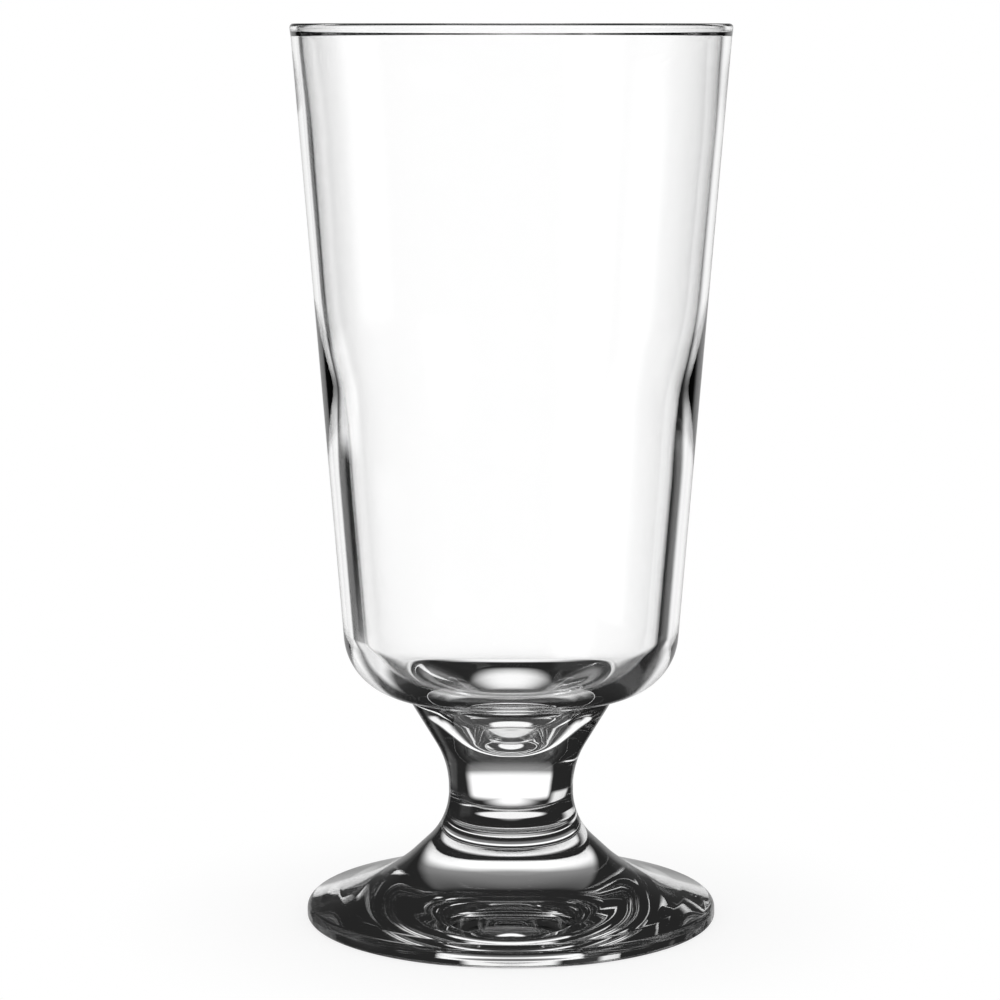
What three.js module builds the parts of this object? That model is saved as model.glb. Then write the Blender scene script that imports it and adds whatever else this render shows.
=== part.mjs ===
// Footed highball glass: a tapered bowl on a short waisted stem and a round foot.
// The three pieces are clear glass, fused end to end while they are hot, so each pair
// meets on one flat round joint face.
// Millimetres, +Z up. The origin is the middle of the surface that the foot stands on.

import * as THREE from 'three';

// Overall sizes
const GLASS_HEIGHT = 150.6;
const RIM_DIAMETER = 73;
const FOOT_DIAMETER = 69.5;

// Foot: a sloping top, a rounded edge, a flat ring to rest on and a shallow hollow below
const FOOT_HEIGHT = 11.7; // up to its joint with the stem
const FOOT_EDGE_HEIGHT = 2.4;
const FOOT_EDGE_TOP_ROUNDING = 1.35;
const FOOT_EDGE_BOTTOM_ROUNDING = 0.55;
const FOOT_TOP_SLOPE = 17.7; // degrees from level
const FOOT_TOP_ROUNDING = 21.8;
const RESTING_RING_WIDTH = 6.5;
const HOLLOW_DEPTH = 1.8;
const HOLLOW_FLAT_DIAMETER = 16;
const HOLLOW_ROUNDING = 120;

// Stem: an upright waist that flares down to the foot and up to the bowl
const STEM_LENGTH = 18.3; // from joint to joint
const WAIST_DIAMETER = 21.1;
const LOWER_FLARE_HEIGHT = 4.8;
const LOWER_FLARE_ANGLE = 46.4; // degrees from upright
const LOWER_FLARE_ROUNDING = 11.8;
const UPPER_FLARE_HEIGHT = 3.7;
const UPPER_FLARE_ANGLE = 31; // degrees from upright
const UPPER_FLARE_ROUNDING = 15.5;

// Bowl, outside
const WALL_TAPER = 4.6; // degrees from upright
const BOWL_CORNER_RISE = 10; // from the stem joint to where wall and underside would cross
const BOWL_CORNER_ROUNDING = 10.3;
const UNDERSIDE_SLOPE = 9.3; // degrees from level
const UNDERSIDE_FILLET = 3;

// Bowl, inside: a well in the middle that reaches down to the stem, a floor that falls to the
// well's brow, and a wall that is thicker below a soft step
const WELL_FLOOR_THICKNESS = 0.8; // above the stem joint
const WELL_BOTTOM_DIAMETER = 7;
const WELL_BOTTOM_ROUNDING = 7.4;
const WELL_SIDE_HEIGHT = 7.2; // from the stem joint to where the well's slope gets gentler
const WELL_SIDE_DIAMETER = 17.4;
const WELL_SIDE_ROUNDING = 8;
const WELL_BROW_HEIGHT = 10.7; // from the stem joint
const WELL_BROW_DIAMETER = 31;
const WELL_BROW_ROUNDING = 8;
const FLOOR_EDGE_HEIGHT = 11.8; // from the stem joint to where wall and floor would cross
const FLOOR_EDGE_ROUNDING = 9.2;
const LOWER_WALL = 3.4;
const LOWER_WALL_HEIGHT = 54.8; // from the stem joint up to the step
const WALL_STEP_LENGTH = 14;
const WALL_STEP_ROUNDING = 250;
const UPPER_WALL = 1.75;

// Rim: a melted lip, thinner than the wall, that swells a little outside and stands on a ledge inside
const LIP_HEIGHT = 2; // outside, from the wall to the top
const LIP_SWELL_HEIGHT = 1.15;
const LIP_BLEND = 0.5;
const LIP_THICKNESS = 1.35;
const LIP_OUTER_ROUNDING = 0.65;
const LIP_INNER_ROUNDING = 0.7;
const LEDGE_DEPTH = 1.67; // inside, from the top down to the wall
const LEDGE_HEIGHT = 0.32;
const LEDGE_ROUNDING = 0.6;

// Fineness of the turned surfaces
const TURN_SEGMENTS = 48;
const ARC_STEP = 15; // degrees
const LEAST_ARC_STEPS = 3;
const SAME_POINT = 0.001;

const slope = (degrees) => Math.tan(THREE.MathUtils.degToRad(degrees));

const rimRadius = RIM_DIAMETER / 2;
const footRadius = FOOT_DIAMETER / 2;
const waistRadius = WAIST_DIAMETER / 2;

// Heights of the joints and of the corners of the waist
const footJoint = FOOT_HEIGHT;
const bowlJoint = FOOT_HEIGHT + STEM_LENGTH;
const waistBottom = footJoint + LOWER_FLARE_HEIGHT;
const waistTop = bowlJoint - UPPER_FLARE_HEIGHT;

// Radius of each straight side at a height
const lowerFlareRadius = (z) => waistRadius + (waistBottom - z) * slope(LOWER_FLARE_ANGLE);
const upperFlareRadius = (z) => waistRadius + (z - waistTop) * slope(UPPER_FLARE_ANGLE);
const wallRadius = (z) => rimRadius - (GLASS_HEIGHT - z) * slope(WALL_TAPER);

// Both pieces at a joint take their radius there from the stem's flare
const footJointRadius = lowerFlareRadius(footJoint);
const bowlJointRadius = upperFlareRadius(bowlJoint);

// Half the angle between the two sides that meet at a corner
function halfAngle(corners, i) {
  const toLast = corners[i - 1].clone().sub(corners[i]);
  const toNext = corners[i + 1].clone().sub(corners[i]);
  return toLast.angleTo(toNext) / 2;
}

// Turns a list of [radius, height, rounding] corners into outline points, with an arc that
// touches both sides in place of each rounded corner. Two arcs that don't fit on the side
// between them both shrink until they do.
function roundedOutline(list) {
  const corners = list.map(([radius, height]) => new THREE.Vector2(radius, height));
  const reach = list.map(([, , rounding], i) => rounding ? rounding / Math.tan(halfAngle(corners, i)) : 0);
  const fit = (i, j) => Math.min(1, corners[i].distanceTo(corners[j]) / (reach[i] + reach[j]));
  const points = [];
  const add = (point) => {
    if (points.length === 0 || point.distanceTo(points.at(-1)) > SAME_POINT) points.push(point);
  };
  corners.forEach((corner, i) => {
    if (reach[i] === 0) {
      add(corner);
      return;
    }
    const half = halfAngle(corners, i);
    const tangent = reach[i] * Math.min(fit(i - 1, i), fit(i, i + 1));
    const rounding = tangent * Math.tan(half);
    const toLast = corners[i - 1].clone().sub(corner).normalize();
    const toNext = corners[i + 1].clone().sub(corner).normalize();
    const inward = toLast.clone().add(toNext).normalize();
    const centre = corner.clone().addScaledVector(inward, rounding / Math.sin(half));
    const start = corner.clone().addScaledVector(toLast, tangent);
    const turn = (Math.PI - 2 * half) * Math.sign(toNext.cross(toLast));
    const steps = Math.max(LEAST_ARC_STEPS, Math.ceil(THREE.MathUtils.radToDeg(Math.abs(turn)) / ARC_STEP));
    for (let step = 0; step <= steps; step += 1) {
      add(start.clone().rotateAround(centre, (turn * step) / steps));
    }
  });
  return points;
}

const clearGlass = () => new THREE.MeshStandardMaterial({
  color: 0xe9eeee,
  roughness: 0.04,
  metalness: 0,
  transparent: true,
  opacity: 0.35,
});

// A piece turned from an outline that starts and ends on the axis
function turnedPiece(name, corners) {
  const geometry = new THREE.LatheGeometry(roundedOutline(corners), TURN_SEGMENTS);
  geometry.rotateX(Math.PI / 2);
  const piece = new THREE.Mesh(geometry, clearGlass());
  piece.name = name;
  return piece;
}

function makeFoot() {
  // The stem's lower flare runs on down to the line of the foot's top
  const fall = slope(FOOT_TOP_SLOPE);
  const flare = slope(LOWER_FLARE_ANGLE);
  const browHeight = (FOOT_EDGE_HEIGHT + (footRadius - lowerFlareRadius(0)) * fall) / (1 - flare * fall);

  return turnedPiece('foot', [
    [0, HOLLOW_DEPTH],
    [HOLLOW_FLAT_DIAMETER / 2, HOLLOW_DEPTH, HOLLOW_ROUNDING],
    [footRadius - RESTING_RING_WIDTH, 0],
    [footRadius, 0, FOOT_EDGE_BOTTOM_ROUNDING],
    [footRadius, FOOT_EDGE_HEIGHT, FOOT_EDGE_TOP_ROUNDING],
    [lowerFlareRadius(browHeight), browHeight, FOOT_TOP_ROUNDING],
    [footJointRadius, footJoint],
    [0, footJoint],
  ]);
}

function makeStem() {
  return turnedPiece('stem', [
    [0, footJoint],
    [footJointRadius, footJoint],
    [waistRadius, waistBottom, LOWER_FLARE_ROUNDING],
    [waistRadius, waistTop, UPPER_FLARE_ROUNDING],
    [bowlJointRadius, bowlJoint],
    [0, bowlJoint],
  ]);
}

function makeBowl() {
  const corner = bowlJoint + BOWL_CORNER_RISE;
  const wellFloor = bowlJoint + WELL_FLOOR_THICKNESS;
  const wellSide = bowlJoint + WELL_SIDE_HEIGHT;
  const wellBrow = bowlJoint + WELL_BROW_HEIGHT;
  const floorEdge = bowlJoint + FLOOR_EDGE_HEIGHT;
  const stepBottom = bowlJoint + LOWER_WALL_HEIGHT;
  const stepTop = stepBottom + WALL_STEP_LENGTH;
  const lipBottom = GLASS_HEIGHT - LIP_HEIGHT;
  const swellTop = lipBottom + LIP_SWELL_HEIGHT;
  const ledgeBottom = GLASS_HEIGHT - LEDGE_DEPTH;
  const ledgeTop = ledgeBottom + LEDGE_HEIGHT;
  const mouthRadius = rimRadius - LIP_THICKNESS;

  // The stem's upper flare runs on up to the line of the underside
  const rise = slope(UNDERSIDE_SLOPE);
  const flare = slope(UPPER_FLARE_ANGLE);
  const undersideAtJoint = corner - (wallRadius(corner) - bowlJointRadius) * rise;
  const neck = bowlJoint + (undersideAtJoint - bowlJoint) / (1 - flare * rise);

  return turnedPiece('bowl', [
    [0, bowlJoint],
    [bowlJointRadius, bowlJoint],
    [upperFlareRadius(neck), neck, UNDERSIDE_FILLET],
    [wallRadius(corner), corner, BOWL_CORNER_ROUNDING],
    [wallRadius(lipBottom), lipBottom, LIP_BLEND],
    [rimRadius, swellTop, LIP_BLEND],
    [rimRadius, GLASS_HEIGHT, LIP_OUTER_ROUNDING],
    [mouthRadius, GLASS_HEIGHT, LIP_INNER_ROUNDING],
    [mouthRadius, ledgeTop, LEDGE_ROUNDING],
    [wallRadius(ledgeBottom) - UPPER_WALL, ledgeBottom, LEDGE_ROUNDING],
    [wallRadius(stepTop) - UPPER_WALL, stepTop, WALL_STEP_ROUNDING],
    [wallRadius(stepBottom) - LOWER_WALL, stepBottom, WALL_STEP_ROUNDING],
    [wallRadius(floorEdge) - LOWER_WALL, floorEdge, FLOOR_EDGE_ROUNDING],
    [WELL_BROW_DIAMETER / 2, wellBrow, WELL_BROW_ROUNDING],
    [WELL_SIDE_DIAMETER / 2, wellSide, WELL_SIDE_ROUNDING],
    [WELL_BOTTOM_DIAMETER / 2, wellFloor, WELL_BOTTOM_ROUNDING],
    [0, wellFloor],
  ]);
}

const glass = new THREE.Group();
glass.name = 'footed_highball_glass';
glass.add(makeFoot(), makeStem(), makeBowl());

export default glass;
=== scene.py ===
# %% [markdown]
# A footed highball glass is three gathers of hot glass fused end to end: a round foot, a short waisted stem
# and a tapered bowl. The frame holds the same three pieces as faceted solids at their real size. Each one is
# turned again here with a fine smooth surface, because clear glass shows every facet as a break in what is
# seen through it.

# %% Load the frame
import math
from functools import partial

import bmesh
import bpy
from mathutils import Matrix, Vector


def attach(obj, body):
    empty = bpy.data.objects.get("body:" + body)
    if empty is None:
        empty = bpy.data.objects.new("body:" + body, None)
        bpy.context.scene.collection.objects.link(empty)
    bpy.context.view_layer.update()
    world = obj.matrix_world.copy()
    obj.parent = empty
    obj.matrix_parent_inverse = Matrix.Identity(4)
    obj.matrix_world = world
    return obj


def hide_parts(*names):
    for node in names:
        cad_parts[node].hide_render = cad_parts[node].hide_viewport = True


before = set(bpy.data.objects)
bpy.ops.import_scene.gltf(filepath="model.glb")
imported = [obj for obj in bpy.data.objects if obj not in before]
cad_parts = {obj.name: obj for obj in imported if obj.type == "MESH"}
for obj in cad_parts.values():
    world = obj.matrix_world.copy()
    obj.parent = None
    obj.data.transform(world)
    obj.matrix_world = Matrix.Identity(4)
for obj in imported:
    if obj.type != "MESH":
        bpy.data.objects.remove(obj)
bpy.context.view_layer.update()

# %% [markdown]
# A glassmaker works to a drawing of the section: one line from the axis, round the outside, over the rim and
# down the inside. The sizes below are that drawing, in millimetres and degrees. They are the sizes of the
# solids in the frame, so a piece that is turned from them lands where its solid is.

# %% Sizes of the glass
MM = 0.001
GLASS_HEIGHT = 150.6
RIM_RADIUS = 36.5
FOOT_RADIUS = 34.75
FOOT_JOINT = 11.7
BOWL_JOINT = 30.0
WAIST_RADIUS = 10.55
WAIST_BOTTOM = 16.5
WAIST_TOP = 26.3
WALL_TAPER = 4.6
LOWER_FLARE_ANGLE = 46.4
UPPER_FLARE_ANGLE = 31


def slope(degrees):
    return math.tan(math.radians(degrees))


def wall_radius(height):
    return RIM_RADIUS - (GLASS_HEIGHT - height) * slope(WALL_TAPER)


def lower_flare_radius(height):
    return WAIST_RADIUS + (WAIST_BOTTOM - height) * slope(LOWER_FLARE_ANGLE)


def upper_flare_radius(height):
    return WAIST_RADIUS + (height - WAIST_TOP) * slope(UPPER_FLARE_ANGLE)


print("joint radii:", round(lower_flare_radius(FOOT_JOINT), 2), round(upper_flare_radius(BOWL_JOINT), 2))

# %% [markdown]
# Hot glass has no sharp corners. Each corner of the drawing carries its own rounding, and an arc that
# touches both sides takes the corner's place. Bezier handles could draw the same bends, but an arc keeps the
# radius that was written down. Long straight runs get points too, so that the shading of a bend stays near
# the bend.

# %% Round the corners of a section
ARC_STEP = 2.0
LEAST_ARC_STEPS = 4
LONGEST_STEP = 2.0


def rounded_section(corners):
    """Turns (radius, height, rounding) corners into points, with an arc for each rounded corner."""
    spots = [Vector(corner[:2]) for corner in corners]
    halves, reaches = [], []
    for i, corner in enumerate(corners):
        half = reach = 0.0
        if len(corner) == 3:
            half = (spots[i - 1] - spots[i]).angle(spots[i + 1] - spots[i]) / 2
            reach = corner[2] / math.tan(half)
        halves.append(half)
        reaches.append(reach)

    def fit(i, j):
        total = reaches[i] + reaches[j]
        return min(1.0, (spots[i] - spots[j]).length / total) if total else 1.0

    points = []
    for i, spot in enumerate(spots):
        if not reaches[i]:
            points.append(spot)
            continue
        tangent = reaches[i] * min(fit(i - 1, i), fit(i, i + 1))
        rounding = tangent * math.tan(halves[i])
        to_last = (spots[i - 1] - spot).normalized()
        to_next = (spots[i + 1] - spot).normalized()
        centre = spot + (to_last + to_next).normalized() * rounding / math.sin(halves[i])
        arm = spot + to_last * tangent - centre
        turn = math.copysign(math.pi - 2 * halves[i], to_next.x * to_last.y - to_next.y * to_last.x)
        steps = max(LEAST_ARC_STEPS, math.ceil(abs(math.degrees(turn)) / ARC_STEP))
        steps = max(steps, math.ceil(rounding * abs(turn) / LONGEST_STEP))
        for step in range(steps + 1):
            angle = turn * step / steps
            x = arm.x * math.cos(angle) - arm.y * math.sin(angle)
            y = arm.x * math.sin(angle) + arm.y * math.cos(angle)
            points.append(centre + Vector((x, y)))

    section = points[:1]
    for last, point in zip(points, points[1:]):
        parts = max(1, math.ceil((point - last).length / LONGEST_STEP))
        section += [last.lerp(point, part / parts) for part in range(1, parts + 1)]
    return section


# %% [markdown]
# The foot is a solid disc that slopes up to the stem. It rests on a flat ring round a shallow hollow, so it
# doesn't rock. Its section starts on the axis in the hollow and ends at the edge of the joint with the stem.

# %% Section of the foot
FOOT_EDGE_HEIGHT = 2.4
FOOT_EDGE_BOTTOM_ROUNDING = 0.55
FOOT_EDGE_TOP_ROUNDING = 1.35
FOOT_TOP_SLOPE = 17.7
FOOT_TOP_ROUNDING = 21.8
RESTING_RING_WIDTH = 6.5
HOLLOW_DEPTH = 1.8
HOLLOW_FLAT_RADIUS = 8
HOLLOW_ROUNDING = 120
HOLLOW_EDGE_ROUNDING = 8


def foot_section():
    fall = slope(FOOT_TOP_SLOPE)
    reach = FOOT_RADIUS - lower_flare_radius(0)
    brow = (FOOT_EDGE_HEIGHT + reach * fall) / (1 - slope(LOWER_FLARE_ANGLE) * fall)
    return rounded_section([
        (0, HOLLOW_DEPTH),
        (HOLLOW_FLAT_RADIUS, HOLLOW_DEPTH, HOLLOW_ROUNDING),
        (FOOT_RADIUS - RESTING_RING_WIDTH, 0, HOLLOW_EDGE_ROUNDING),
        (FOOT_RADIUS, 0, FOOT_EDGE_BOTTOM_ROUNDING),
        (FOOT_RADIUS, FOOT_EDGE_HEIGHT, FOOT_EDGE_TOP_ROUNDING),
        (lower_flare_radius(brow), brow, FOOT_TOP_ROUNDING),
        (lower_flare_radius(FOOT_JOINT), FOOT_JOINT),
    ])


print("foot section:", len(foot_section()), "points")

# %% [markdown]
# The stem is solid. It was drawn out of the bowl's floor while it was soft, so it is narrowest in the middle
# and flares both ways. Both ends of its section are the edges of its joints.

# %% Section of the stem
LOWER_FLARE_ROUNDING = 11.8
UPPER_FLARE_ROUNDING = 15.5


def stem_section():
    return rounded_section([
        (lower_flare_radius(FOOT_JOINT), FOOT_JOINT),
        (WAIST_RADIUS, WAIST_BOTTOM, LOWER_FLARE_ROUNDING),
        (WAIST_RADIUS, WAIST_TOP, UPPER_FLARE_ROUNDING),
        (upper_flare_radius(BOWL_JOINT), BOWL_JOINT),
    ])


print("stem section:", len(stem_section()), "points")

# %% [markdown]
# The bowl is a tapered tumbler. Its wall is thicker below a soft step, and its floor curves down into a well
# that reaches the stem. Its lip was melted round: it is thinner than the wall, swells a little outside and
# stands on a small ledge inside. The section runs from the joint's edge up the outside, over the lip and
# down the inside to the axis. The well's corners are written whole, as radius, height and rounding.

# %% Section of the bowl
CORNER_HEIGHT = 40
CORNER_ROUNDING = 10.3
UNDERSIDE_SLOPE = 9.3
UNDERSIDE_FILLET = 3
LIP_HEIGHT = 2
SWELL_HEIGHT = 1.15
LIP_BLEND = 0.5
LIP_THICKNESS = 1.35
LIP_OUTER_ROUNDING = 0.65
LIP_INNER_ROUNDING = 0.7
LEDGE_DEPTH = 1.67
LEDGE_HEIGHT = 0.32
LEDGE_ROUNDING = 0.6
UPPER_WALL = 1.75
LOWER_WALL = 3.4
STEP_BOTTOM = 84.8
STEP_TOP = 98.8
STEP_ROUNDING = 250
FLOOR_EDGE = 41.8
FLOOR_EDGE_ROUNDING = 9.2
WELL_BROW = (15.5, 40.7, 8)
WELL_SIDE = (8.7, 37.2, 8)
WELL_BOTTOM = (3.5, 30.8, 7.4)


def bowl_section():
    rise = slope(UNDERSIDE_SLOPE)
    under = CORNER_HEIGHT - (wall_radius(CORNER_HEIGHT) - upper_flare_radius(BOWL_JOINT)) * rise
    neck = BOWL_JOINT + (under - BOWL_JOINT) / (1 - slope(UPPER_FLARE_ANGLE) * rise)
    lip_bottom = GLASS_HEIGHT - LIP_HEIGHT
    ledge = GLASS_HEIGHT - LEDGE_DEPTH
    mouth = RIM_RADIUS - LIP_THICKNESS
    return rounded_section([
        (upper_flare_radius(BOWL_JOINT), BOWL_JOINT),
        (upper_flare_radius(neck), neck, UNDERSIDE_FILLET),
        (wall_radius(CORNER_HEIGHT), CORNER_HEIGHT, CORNER_ROUNDING),
        (wall_radius(lip_bottom), lip_bottom, LIP_BLEND),
        (RIM_RADIUS, lip_bottom + SWELL_HEIGHT, LIP_BLEND),
        (RIM_RADIUS, GLASS_HEIGHT, LIP_OUTER_ROUNDING),
        (mouth, GLASS_HEIGHT, LIP_INNER_ROUNDING),
        (mouth, ledge + LEDGE_HEIGHT, LEDGE_ROUNDING),
        (wall_radius(ledge) - UPPER_WALL, ledge, LEDGE_ROUNDING),
        (wall_radius(STEP_TOP) - UPPER_WALL, STEP_TOP, STEP_ROUNDING),
        (wall_radius(STEP_BOTTOM) - LOWER_WALL, STEP_BOTTOM, STEP_ROUNDING),
        (wall_radius(FLOOR_EDGE) - LOWER_WALL, FLOOR_EDGE, FLOOR_EDGE_ROUNDING),
        WELL_BROW,
        WELL_SIDE,
        WELL_BOTTOM,
        (0, WELL_BOTTOM[1]),
    ])


print("bowl section:", len(bowl_section()), "points")

# %% [markdown]
# Turning follows one rule: every point of the section goes round the axis. A Screw modifier could do it, but
# a node tree can also let the inside lean a little, as it does in real glass that was never quite even. A
# flat grid is wrapped: each row of it is one point of the section, and across it the angle grows.

# %% The tree that turns a section
FADE_ROWS = 8
SAME_POINT = 0.001 * MM


def math_value(tree, operation, first, second=0.0):
    """Adds a math node to a tree; each side is a number or another node's output."""
    made = tree.nodes.new("ShaderNodeMath")
    made.operation = operation
    for socket, given in zip(made.inputs, (first, second)):
        if isinstance(given, (int, float)):
            socket.default_value = given
        else:
            tree.links.new(given, socket)
    return made.outputs[0]


def lathe_tree():
    tree = bpy.data.node_groups.new("turn_on_the_lathe", "GeometryNodeTree")
    sockets = tree.interface
    sockets.new_socket("Section", in_out="INPUT", socket_type="NodeSocketGeometry")
    sockets.new_socket("Turn Steps", in_out="INPUT", socket_type="NodeSocketInt")
    sockets.new_socket("Inside Starts", in_out="INPUT", socket_type="NodeSocketInt")
    sockets.new_socket("Lean Starts", in_out="INPUT", socket_type="NodeSocketFloat")
    sockets.new_socket("Inside Lean", in_out="INPUT", socket_type="NodeSocketFloat")
    sockets.new_socket("Glass", in_out="INPUT", socket_type="NodeSocketMaterial")
    sockets.new_socket("Turned Glass", in_out="OUTPUT", socket_type="NodeSocketGeometry")

    def node(kind, **settings):
        made = tree.nodes.new(kind)
        for key, setting in settings.items():
            setattr(made, key, setting)
        return made

    link = tree.links.new
    value = partial(math_value, tree)
    given = node("NodeGroupInput").outputs
    result = node("NodeGroupOutput").inputs

    # Wrap a grid round the axis, with a row for each point of the section
    count = node("GeometryNodeAttributeDomainSize", component="CURVE")
    link(given["Section"], count.inputs["Geometry"])
    points = count.outputs["Point Count"]
    grid = node("GeometryNodeMeshGrid")
    grid.inputs["Size X"].default_value = 1.0
    grid.inputs["Size Y"].default_value = 1.0
    link(value("ADD", given["Turn Steps"], 1), grid.inputs["Vertices X"])
    link(points, grid.inputs["Vertices Y"])
    place = node("GeometryNodeInputPosition").outputs[0]
    across = node("ShaderNodeSeparateXYZ")
    link(place, across.inputs[0])
    around = value("ADD", across.outputs["X"], 0.5)
    row = value("MODULO", node("GeometryNodeInputIndex").outputs[0], points)
    section = node("GeometryNodeSampleIndex", data_type="FLOAT_VECTOR", domain="POINT")
    link(given["Section"], section.inputs["Geometry"])
    link(place, section.inputs["Value"])
    link(row, section.inputs["Index"])
    turned = node("ShaderNodeVectorRotate", rotation_type="Z_AXIS")
    link(section.outputs["Value"], turned.inputs["Vector"])
    link(value("MULTIPLY", around, 2 * math.pi), turned.inputs["Angle"])

    # Let the inside bend sideways, more and more towards the rim
    inside = node("ShaderNodeMapRange", interpolation_type="SMOOTHSTEP")
    link(row, inside.inputs["Value"])
    link(given["Inside Starts"], inside.inputs["From Min"])
    link(value("ADD", given["Inside Starts"], FADE_ROWS), inside.inputs["From Max"])
    turned_height = node("ShaderNodeSeparateXYZ")
    link(turned.outputs["Vector"], turned_height.inputs[0])
    above = value("SUBTRACT", turned_height.outputs["Z"], given["Lean Starts"])
    above = value("MAXIMUM", above, 0.0)
    lean = value("MULTIPLY", value("MULTIPLY", above, above), given["Inside Lean"])
    sideways = node("ShaderNodeCombineXYZ")
    link(value("MULTIPLY", lean, inside.outputs[0]), sideways.inputs["X"])
    wrapped = node("GeometryNodeSetPosition")
    link(grid.outputs["Mesh"], wrapped.inputs["Geometry"])
    link(turned.outputs["Vector"], wrapped.inputs["Position"])
    link(sideways.outputs[0], wrapped.inputs["Offset"])

    # Close the seam and the poles, and finish
    closed = node("GeometryNodeMergeByDistance")
    closed.inputs["Distance"].default_value = SAME_POINT
    link(wrapped.outputs["Geometry"], closed.inputs["Geometry"])
    smooth = node("GeometryNodeSetShadeSmooth")
    link(closed.outputs["Geometry"], smooth.inputs["Geometry"])
    real = node("GeometryNodeRealizeInstances")
    link(smooth.outputs["Geometry"], real.inputs["Geometry"])
    finish = node("GeometryNodeSetMaterial")
    link(real.outputs["Geometry"], finish.inputs["Geometry"])
    link(given["Glass"], finish.inputs["Material"])
    link(finish.outputs["Geometry"], result["Turned Glass"])
    return tree


lathe = lathe_tree()
print("lathe tree:", len(lathe.nodes), "nodes")

# %% [markdown]
# Clear soda-lime glass has no colour of its own in a piece this thick, and its surface is melted smooth.
# What shows is how it bends light, so the index of refraction matters most. The detail is small: slow waves
# from the hot glass settling, fine rings left by turning it, and a trace of haze where it was wiped.

# %% The clear glass
GLASS_INDEX = 1.52
WAVE_SCALE = 38.0
WAVE_DEPTH = 0.006 * MM
RING_SCALE = 420.0
RING_DEPTH = 0.002 * MM
HAZE_SCALE = 22.0
HAZE_RANGE = (0.55, 0.8)
HAZE_ROUGHNESS = 0.035


def clear_glass_material():
    made = bpy.data.materials.new("clear_glass")
    made.use_nodes = True
    nodes, link = made.node_tree.nodes, made.node_tree.links.new
    surface = nodes["Principled BSDF"]
    surface.inputs["Base Color"].default_value = (1.0, 1.0, 1.0, 1.0)
    surface.inputs["Transmission Weight"].default_value = 1.0
    surface.inputs["IOR"].default_value = GLASS_INDEX

    spot = nodes.new("ShaderNodeTexCoord").outputs["Object"]

    # Slow waves in the surface
    waves = nodes.new("ShaderNodeTexNoise")
    waves.inputs["Scale"].default_value = WAVE_SCALE
    waves.inputs["Detail"].default_value = 1.0
    link(spot, waves.inputs["Vector"])
    wave_bump = nodes.new("ShaderNodeBump")
    wave_bump.inputs["Strength"].default_value = 1.0
    wave_bump.inputs["Distance"].default_value = WAVE_DEPTH
    link(waves.outputs["Fac"], wave_bump.inputs["Height"])

    # Fine rings from turning: the noise is read by distance from the axis and by height
    parts = nodes.new("ShaderNodeSeparateXYZ")
    link(spot, parts.inputs[0])
    level = nodes.new("ShaderNodeCombineXYZ")
    link(parts.outputs["X"], level.inputs["X"])
    link(parts.outputs["Y"], level.inputs["Y"])
    radius = nodes.new("ShaderNodeVectorMath")
    radius.operation = "LENGTH"
    link(level.outputs[0], radius.inputs[0])
    ring_spot = nodes.new("ShaderNodeCombineXYZ")
    link(radius.outputs["Value"], ring_spot.inputs["X"])
    link(parts.outputs["Z"], ring_spot.inputs["Z"])
    rings = nodes.new("ShaderNodeTexNoise")
    rings.inputs["Scale"].default_value = RING_SCALE
    rings.inputs["Detail"].default_value = 2.0
    link(ring_spot.outputs[0], rings.inputs["Vector"])
    ring_bump = nodes.new("ShaderNodeBump")
    ring_bump.inputs["Strength"].default_value = 1.0
    ring_bump.inputs["Distance"].default_value = RING_DEPTH
    link(rings.outputs["Fac"], ring_bump.inputs["Height"])
    link(wave_bump.outputs["Normal"], ring_bump.inputs["Normal"])
    link(ring_bump.outputs["Normal"], surface.inputs["Normal"])

    # A trace of haze in soft patches
    haze = nodes.new("ShaderNodeTexNoise")
    haze.inputs["Scale"].default_value = HAZE_SCALE
    haze.inputs["Detail"].default_value = 4.0
    link(spot, haze.inputs["Vector"])
    wiped = nodes.new("ShaderNodeMapRange")
    wiped.inputs["From Min"].default_value, wiped.inputs["From Max"].default_value = HAZE_RANGE
    wiped.inputs["To Max"].default_value = HAZE_ROUGHNESS
    link(haze.outputs["Fac"], wiped.inputs["Value"])
    link(wiped.outputs["Result"], surface.inputs["Roughness"])
    return made


clear_glass = clear_glass_material()
print("material:", clear_glass.name, len(clear_glass.node_tree.nodes), "nodes")

# %% [markdown]
# Where two gathers were fused, the glass ran together and no surface is left, so light crosses the joint
# without bending. Each piece is still a closed solid, and the disc that closes it gets a finish that lets
# all light straight through.

# %% The fused joint


def fused_joint_material():
    made = bpy.data.materials.new("fused_joint")
    made.use_nodes = True
    nodes = made.node_tree.nodes
    nodes.remove(nodes["Principled BSDF"])
    through = nodes.new("ShaderNodeBsdfTransparent")
    made.node_tree.links.new(through.outputs[0], nodes["Material Output"].inputs["Surface"])
    return made


fused_joint = fused_joint_material()
print("material:", fused_joint.name)

# %% [markdown]
# Now each section goes on the lathe. The section is a plain curve object, the tree turns it, and the result
# is taken as a plain mesh. Its open joint edges are then filled with discs, and its faces are turned
# outwards.

# %% Turn a piece


def section_curve(name, points):
    curve = bpy.data.curves.new(name, "CURVE")
    curve.dimensions = "3D"
    line = curve.splines.new("POLY")
    line.points.add(len(points) - 1)
    for dot, point in zip(line.points, points):
        dot.co = (point.x * MM, 0.0, point.y * MM, 1.0)
    made = bpy.data.objects.new(name, curve)
    bpy.context.collection.objects.link(made)
    return made


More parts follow.
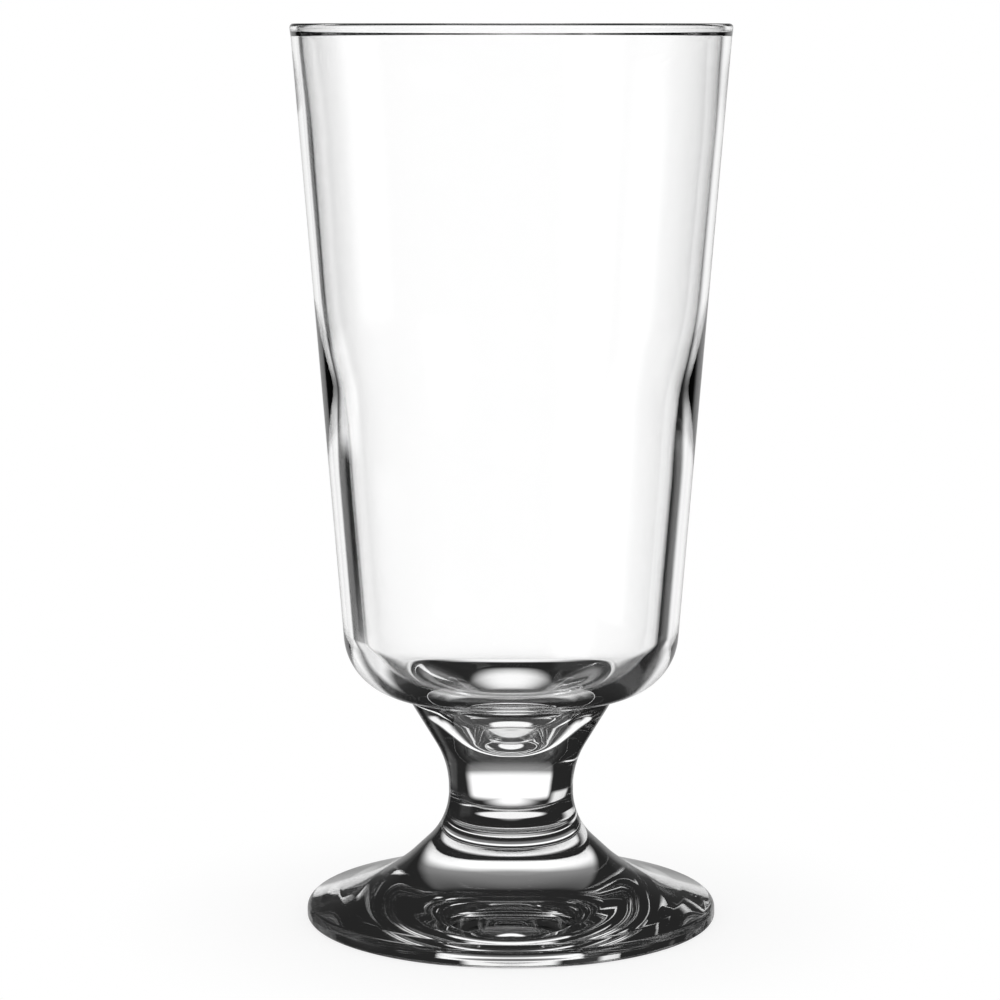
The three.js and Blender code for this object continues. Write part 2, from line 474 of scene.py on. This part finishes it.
def turn_piece(name, points, node_name, **sizes):
    section = section_curve(name + "_section", points)
    turning = section.modifiers.new("turning", "NODES")
    turning.node_group = lathe
    values = dict(sizes, Glass=clear_glass)
    for socket in lathe.interface.items_tree:
        key = socket.name.replace(" ", "_")
        if socket.in_out == "INPUT" and key in values:
            turning[socket.identifier] = values[key]
    shaped = section.evaluated_get(bpy.context.evaluated_depsgraph_get())
    mesh = bpy.data.meshes.new_from_object(shaped)
    mesh.name = name
    bpy.data.objects.remove(section)

    # Close the joints
    mesh.materials.clear()
    mesh.materials.append(clear_glass)
    mesh.materials.append(fused_joint)
    work = bmesh.new()
    work.from_mesh(mesh)
    open_edges = [edge for edge in work.edges if edge.is_boundary]
    discs = bmesh.ops.holes_fill(work, edges=open_edges)["faces"] if open_edges else []
    for disc in discs:
        disc.material_index = 1
        disc.smooth = False
        for edge in disc.edges:
            edge.smooth = False
    bmesh.ops.recalc_face_normals(work, faces=work.faces)
    work.to_mesh(mesh)
    work.free()

    piece = bpy.data.objects.new(name, mesh)
    bpy.context.collection.objects.link(piece)
    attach(piece, "root")
    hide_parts(node_name)
    print(name, len(mesh.polygons), "faces,", len(discs), "joint discs, size in mm",
          [round(side / MM, 2) for side in piece.dimensions])


# %% [markdown]
# The three pieces are turned one after the other. Only the bowl has an inside, and it leans a little,
# because the two walls in the photograph aren't quite alike. The lean grows from well above the floor
# upwards and fades out just below the lip, so the rim stays round.

# %% The foot, the stem and the bowl
TURN_STEPS = 192
LEAN_STARTS = 60 * MM
INSIDE_LEAN = 0.05

turn_piece("clear_foot", foot_section(), "foot", Turn_Steps=TURN_STEPS)
turn_piece("clear_stem", stem_section(), "stem", Turn_Steps=TURN_STEPS)
bowl_line = bowl_section()
rim_row = max(range(len(bowl_line)), key=lambda row: bowl_line[row].y)
lip_bottom = GLASS_HEIGHT - LIP_HEIGHT
ledge_row = next(row for row in range(rim_row, len(bowl_line)) if bowl_line[row].y < lip_bottom)
turn_piece("clear_bowl", bowl_line, "bowl", Turn_Steps=TURN_STEPS, Inside_Starts=ledge_row,
           Lean_Starts=LEAN_STARTS, Inside_Lean=INSIDE_LEAN)

# %% [markdown]
# Clear glass is photographed against a bright field: a glowing white panel stands behind it and everything
# else is kept dark, so each edge draws itself as a dark line. The world is painted that way by direction.
# The camera sees plain white, and rays that come out of the glass see the soft-edged panels. The panel
# behind is a little over white, which makes up for the light that the bowl's four faces turn back. Mirrored
# light is held down, so that the walls keep a grey edge. The other panels stand behind the glass as it is
# seen from the sides, the back and above.

# %% A studio of soft-edged panels
DARK_STUDIO = 0.02
REFLECTED = 0.4
# Each panel: left edge, right edge, low edge, high edge (each from dark to bright, in degrees), brightness
PANELS = {
    "behind": ((-31, -26), (36, 26), (-25, -17), (14, 1), 1.18),
    "behind_below": ((-24, -2), (24, 2), (-35, -22), (14, 1), 1.18),
    "behind_above": ((-31, -26), (36, 26), (-25, -17), (34, 0), 0.35),
    "left": ((-110, -96), (-70, -84), (-18, -10), (10, 2), 1.1),
    "low_left": ((-64, -54), (-28, -38), (-40, -32), (-12, -18), 0.95),
    "front_right": ((116, 126), (154, 144), (-32, -24), (0, -8), 1.15),
    "below": ((-190, -185), (190, 185), (-100, -95), (-60, -68), 1.0),
}


def studio_world():
    world = bpy.data.worlds.new("bright_field_studio")
    world.use_nodes = True
    nodes, link = world.node_tree.nodes, world.node_tree.links.new
    value = partial(math_value, world.node_tree)

    def edge(angle, dark, bright):
        made = nodes.new("ShaderNodeMapRange")
        made.interpolation_type = "SMOOTHSTEP"
        made.inputs["From Min"].default_value = math.radians(dark)
        made.inputs["From Max"].default_value = math.radians(bright)
        link(angle, made.inputs["Value"])
        return made.outputs["Result"]

    # The direction of a ray as two angles
    toward = nodes.new("ShaderNodeSeparateXYZ")
    link(nodes.new("ShaderNodeTexCoord").outputs["Generated"], toward.inputs[0])
    around = value("ARCTAN2", toward.outputs["X"], toward.outputs["Y"])
    up = value("ARCSINE", toward.outputs["Z"])

    # The panels, of which the brightest counts
    light = DARK_STUDIO
    for left, right, low, high, brightness in PANELS.values():
        wide = value("MULTIPLY", edge(around, *left), edge(around, *right))
        tall = value("MULTIPLY", edge(up, *low), edge(up, *high))
        panel = value("MULTIPLY", value("MULTIPLY", wide, tall), brightness)
        light = value("MAXIMUM", light, panel)

    # Plain white for the camera, the panels for rays that come out of the glass
    path = nodes.new("ShaderNodeLightPath").outputs
    through_glass = value("MAXIMUM", path["Is Glossy Ray"], path["Is Transmission Ray"])
    kept = value("SUBTRACT", 1.0, value("MULTIPLY", path["Is Reflection Ray"], 1.0 - REFLECTED))
    light = value("MULTIPLY", light, kept)
    seen = nodes.new("ShaderNodeMix")
    seen.data_type = "FLOAT"
    link(through_glass, seen.inputs["Factor"])
    seen.inputs["A"].default_value = 1.0
    link(light, seen.inputs["B"])
    sky = nodes["Background"]
    sky.inputs["Color"].default_value = (1.0, 1.0, 1.0, 1.0)
    link(seen.outputs["Result"], sky.inputs["Strength"])
    return world


bpy.context.scene.world = studio_world()
print("studio panels:", ", ".join(PANELS))

# %% [markdown]
# The floor is plain white card. It keeps a soft shadow near the foot and turns to even white further out, so
# no horizon shows. Rays that come through the glass pass it and see the studio's light below.

# %% The floor
FLOOR_SIZE = 6.0
FLOOR_GAP = 0.05 * MM
CARD_WHITE = 0.985
SHADOW_FADE = (0.035, 0.075)
SHADOW_DEPTH = 0.25


def floor_material():
    made = bpy.data.materials.new("white_card")
    made.use_nodes = True
    nodes, link = made.node_tree.nodes, made.node_tree.links.new
    nodes.remove(nodes["Principled BSDF"])

    # Card near the foot, where the shadow falls, and even white further out
    card = nodes.new("ShaderNodeBsdfDiffuse")
    card.inputs["Color"].default_value = (CARD_WHITE, CARD_WHITE, CARD_WHITE, 1.0)
    glow = nodes.new("ShaderNodeEmission")
    distance = nodes.new("ShaderNodeVectorMath")
    distance.operation = "LENGTH"
    link(nodes.new("ShaderNodeTexCoord").outputs["Object"], distance.inputs[0])
    fade = nodes.new("ShaderNodeMapRange")
    fade.interpolation_type = "SMOOTHSTEP"
    fade.inputs["From Min"].default_value, fade.inputs["From Max"].default_value = SHADOW_FADE
    fade.inputs["To Min"].default_value = 1.0 - SHADOW_DEPTH
    link(distance.outputs["Value"], fade.inputs["Value"])
    near = nodes.new("ShaderNodeMixShader")
    link(fade.outputs["Result"], near.inputs["Fac"])
    link(card.outputs[0], near.inputs[1])
    link(glow.outputs[0], near.inputs[2])

    # Nothing for rays that come out of the glass
    path = nodes.new("ShaderNodeLightPath").outputs
    through_glass = math_value(made.node_tree, "MAXIMUM", path["Is Glossy Ray"], path["Is Transmission Ray"])
    passed = nodes.new("ShaderNodeMixShader")
    link(through_glass, passed.inputs["Fac"])
    link(near.outputs[0], passed.inputs[1])
    link(nodes.new("ShaderNodeBsdfTransparent").outputs[0], passed.inputs[2])
    link(passed.outputs[0], nodes["Material Output"].inputs["Surface"])
    return made


floor_mesh = bpy.data.meshes.new("white_card")
half = FLOOR_SIZE / 2
under = -FLOOR_GAP
card_corners = [(-half, -half, under), (half, -half, under), (half, half, under), (-half, half, under)]
floor_mesh.from_pydata(card_corners, [], [(0, 1, 2, 3)])
floor_mesh.materials.append(floor_material())
floor = bpy.data.objects.new("white_card", floor_mesh)
bpy.context.collection.objects.link(floor)
print("floor:", FLOOR_SIZE, "m square")

# %% [markdown]
# The camera stands level with the rim and looks slightly down. The rim then shows as a straight band and
# the foot as an ellipse. How deep that ellipse is gives the distance, and the width of the picture gives the
# lens.

# %% The camera
CAMERA_PLACE = (-1.87, -553.0, 151.0)  # millimetres
CAMERA_PITCH = 8.205  # degrees below level
CAMERA_LENS = 119.6
SENSOR_WIDTH = 36.0
NEAREST_SEEN = 10 * MM

lens = bpy.data.cameras.new("camera")
lens.lens = CAMERA_LENS
lens.sensor_width = SENSOR_WIDTH
lens.clip_start = NEAREST_SEEN
camera = bpy.data.objects.new("camera", lens)
camera.location = [side * MM for side in CAMERA_PLACE]
camera.rotation_euler = (math.radians(90 - CAMERA_PITCH), 0, 0)
bpy.context.collection.objects.link(camera)
scene = bpy.context.scene
scene.camera = camera
scene.view_settings.view_transform = "Standard"
print("camera", [round(side, 4) for side in camera.location], "lens", lens.lens)

# %% [markdown]
# Light crosses many faces on its way through a solid stem and foot, and some of it is turned back inside
# several times. The path lengths are raised so that none of it ends early and leaves a black patch.

# %% Path lengths
PATH_LENGTH = 32

scene.cycles.max_bounces = PATH_LENGTH
scene.cycles.glossy_bounces = PATH_LENGTH
scene.cycles.transmission_bounces = PATH_LENGTH
scene.cycles.transparent_max_bounces = PATH_LENGTH
print("longest path:", PATH_LENGTH, "bounces")
